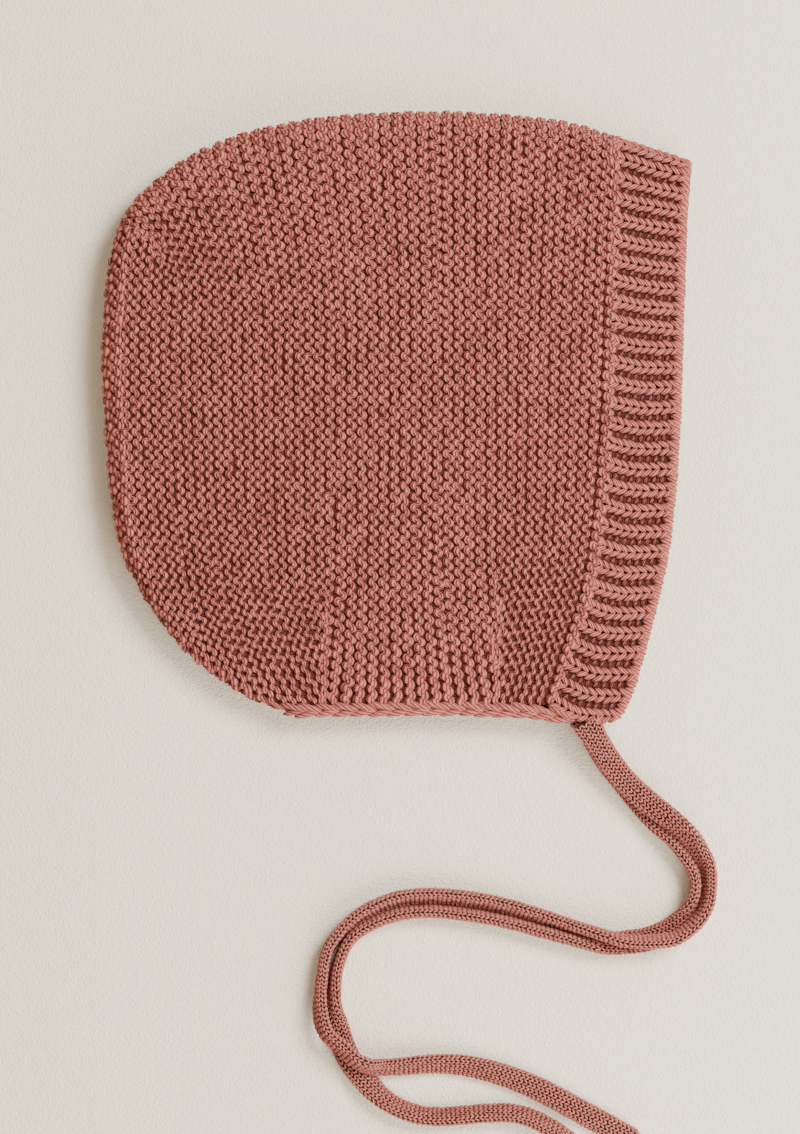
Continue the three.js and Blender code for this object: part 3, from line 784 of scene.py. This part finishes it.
def wall_of(knit, patch, alongs, acrosses, outer, inner):
    """Plain folded wall under the stitches: both skins on both sides, and the rims between them."""
    along, across = np.meshgrid(alongs, acrosses, indexing="ij")
    plan = patch(along, across).reshape(-1, 2)
    for side in (NEAR, FAR):
        skins = []
        for depth in (outer, inner):
            points, _ = cloth(plan, side, depth)
            skins.append(points.reshape(len(alongs), len(acrosses), 3))
        knit.add_wall(skins[0], flip=side == FAR)
        knit.add_wall(skins[1], flip=side == NEAR)
        knit.add_wall(np.stack([skins[0][0], skins[1][0]]), flip=side == NEAR)
        knit.add_wall(np.stack([skins[0][:, 0], skins[1][:, 0]]), flip=side == FAR)
        knit.add_wall(np.stack([skins[0][:, -1], skins[1][:, -1]]), flip=side == NEAR)


def graded(even_steps, fold_steps, fold_stretch):
    """Shares from 0 to 1, finer over the last stretch, where a fold turns."""
    even = np.linspace(0, 1 - fold_stretch, even_steps, endpoint=False)
    turn = np.linspace(np.pi / 2, 0, fold_steps + 1)
    return np.concatenate([even, 1 - fold_stretch * (1 - np.cos(turn))])


def crown_wall():
    """The crown's fabric under its stitches, in the darker wool painted as the shade between them."""
    back = FOLD_BACK[FOLD_BACK[:, 1] > NECK_END][::-1]
    patch = plan_patch(BORDER, back, spline(CROWN_NECK_ROWS), FOLD_TOP)
    alongs = graded(even_steps=34, fold_steps=9, fold_stretch=0.055)
    acrosses = graded(even_steps=38, fold_steps=9, fold_stretch=0.05)
    knit = Knit()
    wall_of(knit, patch, alongs, acrosses, CROWN_CORE_DEPTH, GARTER_WALL)
    knit.build("crown_wall", shaded_core_wool, "garter_knit", "crown")


BAND = plan_patch(spline(RIB_END_ROWS), FOLD[BORDER_TOP_ROW * ROW_STEPS::-1], BORDER, FACE)


def band_along(rib, across, side):
    """Share along the band where a rib, counted down from the fold, passes a share across."""
    found = np.empty_like(across)
    for value in np.unique(across):
        here = across == value
        line, _ = cloth(BAND(BAND_SHARES, np.full(len(BAND_SHARES), value)), side)
        lengths = lengths_of(line)
        share = 1 - rib[here] / RIB_COUNT
        raised = value * np.interp(share, *RIB_RAISE)
        length = lengths[-1] * share + raised + RIB_INSET * (1 - share)
        found[here] = np.interp(length, lengths, BAND_SHARES)
    return found


def band_frames(ribs, acrosses, side):
    """Points, normals, ways out to the face edge and ways up the band, for ribs and shares across."""
    rib, across = (grid.ravel() for grid in np.meshgrid(ribs, acrosses, indexing="ij"))
    along = band_along(rib, across, side)
    points, normals = cloth(BAND(along, across), side)
    shape = (len(ribs), len(acrosses), 3)
    points, normals = points.reshape(shape), normals.reshape(shape)
    out = unit(np.gradient(points, axis=1))
    up = unit(np.cross(normals, out))
    return points, normals, out, up


def grains(knit, points, normals, forward, sideways, rings, radii, tones_and_painted_shades, twist=1, scale=1.0):
    """Short yarn pieces at many places. A ring is (forward, sideways, depth) from the place."""
    places = points.reshape(-1, 3)
    facing, ahead, beside = (v.reshape(-1, 3) for v in (normals, forward, sideways))
    rings = np.asarray(rings, float)
    count = len(places)
    scale = np.broadcast_to(scale, count)[:, None]
    vary = scale * (1 + rng.normal(0, GRAIN_STRAY["size"], (count, 1)))
    shift = rng.normal(0, GRAIN_STRAY["place"], (count, 3))
    moves = rings[None] * vary[:, :, None] + shift[:, None, :]
    centres = (places[:, None, :] + ahead[:, None, :] * moves[..., :1]
               + beside[:, None, :] * moves[..., 1:2] - facing[:, None, :] * moves[..., 2:])
    upper = np.broadcast_to(facing[:, None, :], centres.shape)
    size = np.asarray(radii, float)[None] * scale * (1 + rng.normal(0, GRAIN_STRAY["radius"], (count, 1)))
    # The given ring values are painted shade and highlight, with random tone added per grain
    tone_and_painted_shade = np.asarray(tones_and_painted_shades, float)[None] + rng.normal(0, GRAIN_STRAY["tone_and_painted_shade"], (count, 1))
    knit.add_yarn(centres, upper, size, np.clip(tone_and_painted_shade, *GRAIN_TONE_AND_SHADE_LIMITS), twist=twist)


def mirrored(rings):
    """The same grain on the other side of its wale."""
    return [(forward, -sideways, depth) for forward, sideways, depth in rings]


def rib_band():
    """The ribbed band: knit wales of chevrons, purl furrows between them, and a bound-off face edge."""
    wall = Knit()
    # The wall under the band's stitches is in the darker wool: painted shade between them
    wall_of(wall, BAND, BAND_SHARES[::4], np.linspace(0, 1, 10), RIB_CORE_DEPTH, RIB_WALL)
    wall.build("rib_wall", shaded_core_wool, "rib_knit", "face_rib")
    knit = Knit()
    for side in (NEAR, FAR):
        first = 0 if side == NEAR else 1
        wales = band_frames(np.arange(first, RIB_COUNT + 0.5), RIB_COURSES, side)
        for leg, twist in ((RIB_LEG, side), (mirrored(RIB_LEG), -side)):
            grains(knit, *wales, leg, RIB_LEG_RADII, RIB_LEG_PAINTED_SHADE, twist=twist)
        furrows = band_frames(np.arange(0.5, RIB_COUNT), RIB_COURSES, side)
        grains(knit, *furrows, PURL, PURL_RADII, PURL_PAINTED_SHADE)
        edge_ribs = np.arange(first * RIM_STEP, RIB_COUNT + RIM_STEP / 2, RIM_STEP)
        edge = (values[:, 1] for values in band_frames(edge_ribs, RIM_SHARES, side))
        grains(knit, *edge, RIM, RIM_RADII, RIM_PAINTED_SHADE)
    knit.build("rib_stitches", yarn_wool, "rib_knit")


def border_column():
    """The column of larger stitches where the band was picked up."""
    knit = Knit()
    for side in (NEAR, FAR):
        path, normals = cloth(at_share(BORDER, BORDER_SHARES) + BORDER_SHIFT, side)
        size = np.full(len(path), BORDER_SIZE)
        add_ridge(knit, path, normals, lengths_of(path), size, even_phase, side)
    knit.build("border_stitches", yarn_wool, "garter_knit")


def chain_loop(knit, end, facing, ahead, beside):
    """The loop of yarn that closes the chain edging at the nape."""
    rings = CHAIN_LOOP["rings"]
    turn = np.linspace(-0.5 * np.pi, 0.5 * np.pi, rings)[:, None]
    middle = end + ahead * CHAIN_LOOP["reach"] - facing * CHAIN_LOOP["depth"]
    back = ahead * np.cos(turn) * CHAIN_LOOP["reach"]
    across = beside * np.sin(turn) * CHAIN_LOOP["width"]
    radii = np.full((1, rings), CHAIN_LOOP["radius"])
    knit.add_yarn((middle - back + across)[None], np.tile(facing, (1, rings, 1)), radii, CHAIN_LOOP["tone_and_painted_shade"])


def neck_chain():
    """The chain edging at the neck, over a plain core of yarn."""
    knit = Knit()
    for side in (NEAR, FAR):
        plan = at_share(spline(CHAIN_ROWS), np.linspace(0, 1, CHAIN_CORE["rings"]))
        line, normals = cloth(plan, side)
        lengths = lengths_of(line)
        core = (line - normals * CHAIN_CORE["depth"])[None]
        from_nape = smoothstep((lengths[-1] - lengths) / CHAIN_TAPER)
        thick = CHAIN_CORE["radius"] * rising(CHAIN_CORE["least"], from_nape)
        knit.add_yarn(core, normals[None], thick[None], CHAIN_CORE["tone_and_painted_shade"], sides=CHAIN_CORE["sides"])
        where = np.arange(lengths[-1] - CHAIN_ENDS["nape"], CHAIN_ENDS["band"], -CHAIN_STITCH)
        points = at_length(line, where, lengths)
        facing = unit(at_length(normals, where, lengths))
        ahead = -unit(at_length(np.gradient(line, axis=0), where, lengths))
        beside = np.cross(facing, ahead) * side
        for leg, taper in ((CHAIN_LOW_LEG, CHAIN_LOW_TAPER), (CHAIN_LEG, CHAIN_TAPER)):
            scale = rising(CHAIN_LEAST_SIZE, smoothstep((lengths[-1] - where) / taper))
            grains(knit, points, facing, ahead, beside, leg, CHAIN_RADII, CHAIN_PAINTED_SHADE, scale=scale)
        chain_loop(knit, line[-1], facing[0], ahead[0], beside[0])
    knit.build("neck_chain", yarn_wool, "edge_knit", "neck_edge")


def tie_path(rows):
    """Centre line of a tie, with its roll as a fourth column."""
    table = np.asarray(rows, float)
    roll = np.radians(table[:, 2])
    height = table[:, 3] + np.hypot(TIE_WIDTH / 2 * np.sin(roll), TIE_THICKNESS / 2 * np.cos(roll))
    by_roll = smoothstep((table[:, 2] - TIE_EDGE_TURN["from_roll"]) / TIE_EDGE_TURN["over_roll"])
    by_place = smoothstep((table[:, 0] - TIE_EDGE_TURN["from_x"]) / TIE_EDGE_TURN["over_x"])
    roll = roll + TIE_EDGE_TURN["most"] * (by_roll * by_place)
    roll = np.convolve(np.pad(roll, 1, mode="edge"), TIE_ROLL_BLEND, mode="valid")
    return spline(np.column_stack([table[:, :2], height, roll]))


def foot_of(path):
    """Plan line of the lower edge of a tie on its edge."""
    ahead = unit(np.gradient(path[:, :2], axis=0))
    flat = np.column_stack([ahead[:, 1], -ahead[:, 0]])
    reach = TIE_WIDTH / 2 * np.cos(path[:, 3]) * np.sign(np.sin(path[:, 3]))
    return path[:, :2] + flat * reach[:, None]


def lean_towards(path, other, share):
    """How far the foot of a tie on its edge leans towards the tie beside it, along its path."""
    apart = other[None, :, :2] - path[:, None, :2]
    gaps = np.linalg.norm(apart, axis=2)
    nearest = gaps.argmin(axis=1)
    gap = np.maximum(gaps.min(axis=1), TIE_LEAN["least_gap"])
    foot_gap = np.linalg.norm(foot_of(other)[nearest] - foot_of(path), axis=1)
    spare = np.maximum(gap, foot_gap) - TIE_THICKNESS
    beside = smoothstep((TIE_LEAN["from_gap"] - gap) / TIE_LEAN["over"])
    size = np.clip(share * spare, 0, TIE_LEAN["most"]) * beside * np.sin(other[nearest, 3]) ** 2
    lean = apart[np.arange(len(path)), nearest] * (size / gap)[:, None]
    x, y = (smoothed(lean[:, axis], TIE_LEAN["window"]) for axis in (0, 1))
    return np.column_stack([x, y, np.zeros(len(path))])


def tie_section():
    """Squared oval section of a tie, its outward directions, and its lengths round."""
    angles = np.linspace(0, 2 * np.pi, TIE_SECTION_POINTS)
    power = TIE_SQUARENESS
    bulge = (np.abs(np.cos(angles)) ** power + np.abs(np.sin(angles)) ** power) ** (-1 / power)
    oval = np.column_stack([TIE_WIDTH / 2 * np.cos(angles), TIE_THICKNESS / 2 * np.sin(angles)])
    section = oval * bulge[:, None]
    outward = np.gradient(section[:-1], axis=0) @ np.array([[0.0, -1.0], [1.0, 0.0]])
    outward[0] = (1.0, 0.0)
    outward = unit(np.vstack([outward, outward[:1]]))
    return section, outward, lengths_of(section)


def tie(name, rows, other_rows, lean_share, node):
    """A flat knitted tube along its route, with every stitch on it."""
    path = tie_path(rows)
    line = at_share(path[:, :3], np.linspace(0, 1, CORD_POINTS)) * MM
    back = TIE_ROOT["length"] * unit(path[0] - path[TIE_ROOT["aim_point"]])
    root = path[0] + np.outer(np.linspace(1, 0, TIE_ROOT["points"], endpoint=False), back)
    path = np.vstack([root, path])
    lengths = lengths_of(path[:, :3])
    total = lengths[-1]
    tangents = unit(np.gradient(path[:, :3], axis=0))
    flat = unit(np.cross(tangents, (0.0, 0.0, 1.0)))
    turn = path[:, 3:]
    wide = unit(flat * np.cos(turn) + np.cross(tangents, flat) * np.sin(turn))
    thick = np.cross(tangents, wide)
    lean = lean_towards(path, tie_path(other_rows), lean_share)
    section, outward, round_lengths = tie_section()
    around = round_lengths[-1]

    def surface(run, turned, depth):
        """Points and normals of the tie at lengths along and round it."""
        run, turned, depth = np.broadcast_arrays(run, turned, depth)
        kept = np.clip(run, 0, total)
        to_end = np.clip((total - kept) / TIE_END["reach"], 0, 1)
        shrink = np.sqrt(np.clip(1 - (1 - to_end) ** 2, TIE_END["least"], 1))
        flare = 1 + TIE_FLARE["size"] * smoothstep(1 - kept / TIE_FLARE["reach"])
        place = at_length(section, turned % around, round_lengths) * shrink[..., None]
        out = at_length(outward, turned % around, round_lengths)
        side = place[..., 0] * flare - out[..., 0] * depth
        over = place[..., 1] - out[..., 1] * depth
        w, t = at_length(wide, kept, lengths), at_length(thick, kept, lengths)
        points = at_length(path[:, :3], kept, lengths) + w * side[..., None] + t * over[..., None]
        upright = w[..., 2:]
        low = np.clip(0.5 - side[..., None] * upright / TIE_WIDTH, 0, 1)
        points = points + at_length(lean, kept, lengths) * upright**2 * low ** TIE_LEAN["power"]
        return points, unit(w * out[..., :1] + t * out[..., 1:])

    knit = Knit()
    core_runs = np.linspace(0, total, TIE_CORE["rings"])
    core_rounds = np.linspace(0, around, TIE_CORE["sides"])
    core, _ = surface(*np.meshgrid(core_runs, core_rounds, indexing="ij"), TIE_CORE["depth"])
    # Core under the legs, painted dark as the shade between them
    knit.add_wall(core, flip=True, tone_and_painted_shade=TIE_CORE["tone_and_painted_shade"])
    leg = np.asarray(TIE_LEG)
    courses = np.arange(TIE_COURSE_ENDS[0], total - TIE_COURSE_ENDS[1], TIE_COURSE)
    face_wale = (around / 2 - TIE_EDGE_WALE) / TIE_FACE_WALES
    half = np.append(0.0, TIE_EDGE_WALE / 2 + face_wale * (np.arange(TIE_FACE_WALES) + 0.5))
    wales = np.concatenate([half, half + around / 2])
    widths = np.tile(np.append(TIE_EDGE_WALE, np.full(TIE_FACE_WALES, face_wale)), 2)
    run, wale = (grid.ravel()[:, None] for grid in np.meshgrid(courses, wales, indexing="ij"))
    width = np.tile(widths, len(courses))[:, None]
    radii = np.array(TIE_LEG_RADII)[None]
    for hand in (1, -1):
        jitter = rng.normal(0, TIE_STRAY["place"], (len(run), 3))
        sideways = wale + hand * width * leg[:, 1] + jitter[:, 1:2]
        centres, normals = surface(run + leg[:, 0] + jitter[:, :1], sideways, leg[:, 2] + jitter[:, 2:])
        # Each leg is painted lighter on top and darker at its sunk ends, with random tone added
        tones_and_painted_shades = np.array(TIE_LEG_PAINTED_SHADE) + rng.normal(0, TIE_STRAY["tone_and_painted_shade"], (len(run), 1))
        knit.add_yarn(centres, normals, radii, np.clip(tones_and_painted_shades, *TIE_TONE_AND_SHADE_LIMITS), sides=TIE_LEG_SIDES)
    obj = knit.build(name, lit_tie_wool, "tie_knit", node)


def add_camera():
    """Camera straight above, with the photo's frame: 224 by 317.5 mm at the height of the fold's crest."""
    data = bpy.data.cameras.new("camera")
    data.lens = 85.0
    data.sensor_width = 36.0
    data.clip_end = 10.0
    camera = bpy.data.objects.new("camera", data)
    distance = PHOTO_HEIGHT * data.lens / data.sensor_width
    camera.location = (PHOTO_MIDDLE[0] * MM, PHOTO_MIDDLE[1] * MM, (distance + CREST_HEIGHT) * MM)
    bpy.context.scene.collection.objects.link(camera)
    bpy.context.scene.camera = camera


def add_area_light(name, location, size, power, colour):
    """A large soft light that faces the bonnet."""
    data = bpy.data.lights.new(name, "AREA")
    data.size = size
    data.energy = power
    data.color = colour
    light = bpy.data.objects.new(name, data)
    light.location = location
    aim = Vector(LIGHT_AIM) - light.location
    light.rotation_euler = aim.to_track_quat("-Z", "Y").to_euler()
    bpy.context.scene.collection.objects.link(light)


def add_floor():
    """Pale, finely grained table top."""
    mesh = bpy.data.meshes.new("floor")
    half = 3.0
    level = -0.0003
    corners = [(-half, -half, level), (half, -half, level), (half, half, level), (-half, half, level)]
    mesh.from_pydata(corners, [], [(0, 1, 2, 3)])
    material, tree, shader = new_material("pale_table", {"Roughness": 0.9, "Specular IOR Level": 0.2})
    place = tree.nodes.new("ShaderNodeTexCoord").outputs["Object"]
    grain = noise(tree, place, scale=1700.0, detail=2.0, roughness=0.5)
    colour_between(tree, shader, grain, (0.88, 0.786, 0.638), (1.0, 0.91, 0.748))
    raise_relief(tree, shader, grain, strength=0.7, distance=0.0009)
    mesh.materials.append(material)
    floor = bpy.data.objects.new("floor", mesh)
    bpy.context.scene.collection.objects.link(floor)


def add_world():
    """Soft light from all round."""
    world = bpy.data.worlds.new("soft_room")
    world.use_nodes = True
    background = world.node_tree.nodes["Background"]
    background.inputs["Color"].default_value = (1.0, 0.86, 0.71, 1.0)
    background.inputs["Strength"].default_value = 0.62
    bpy.context.scene.world = world


add_camera()
tie("tie_near_knit", NEAR_TIE_ROWS, FAR_TIE_ROWS, NEAR_LEAN_SHARE, "tie_near")
tie("tie_far_knit", FAR_TIE_ROWS, NEAR_TIE_ROWS, FAR_LEAN_SHARE, "tie_far")
crown_wall()
garter_sides()
border_column()
rib_band()
neck_chain()
add_floor()
add_world()
add_area_light("key", location=(0.50, 0.30, 0.78), size=0.4, power=17.0, colour=(1.0, 0.985, 0.945))
add_area_light("fill", location=(0.33, -0.42, 0.36), size=0.5, power=5.2, colour=(1.0, 0.975, 0.93))
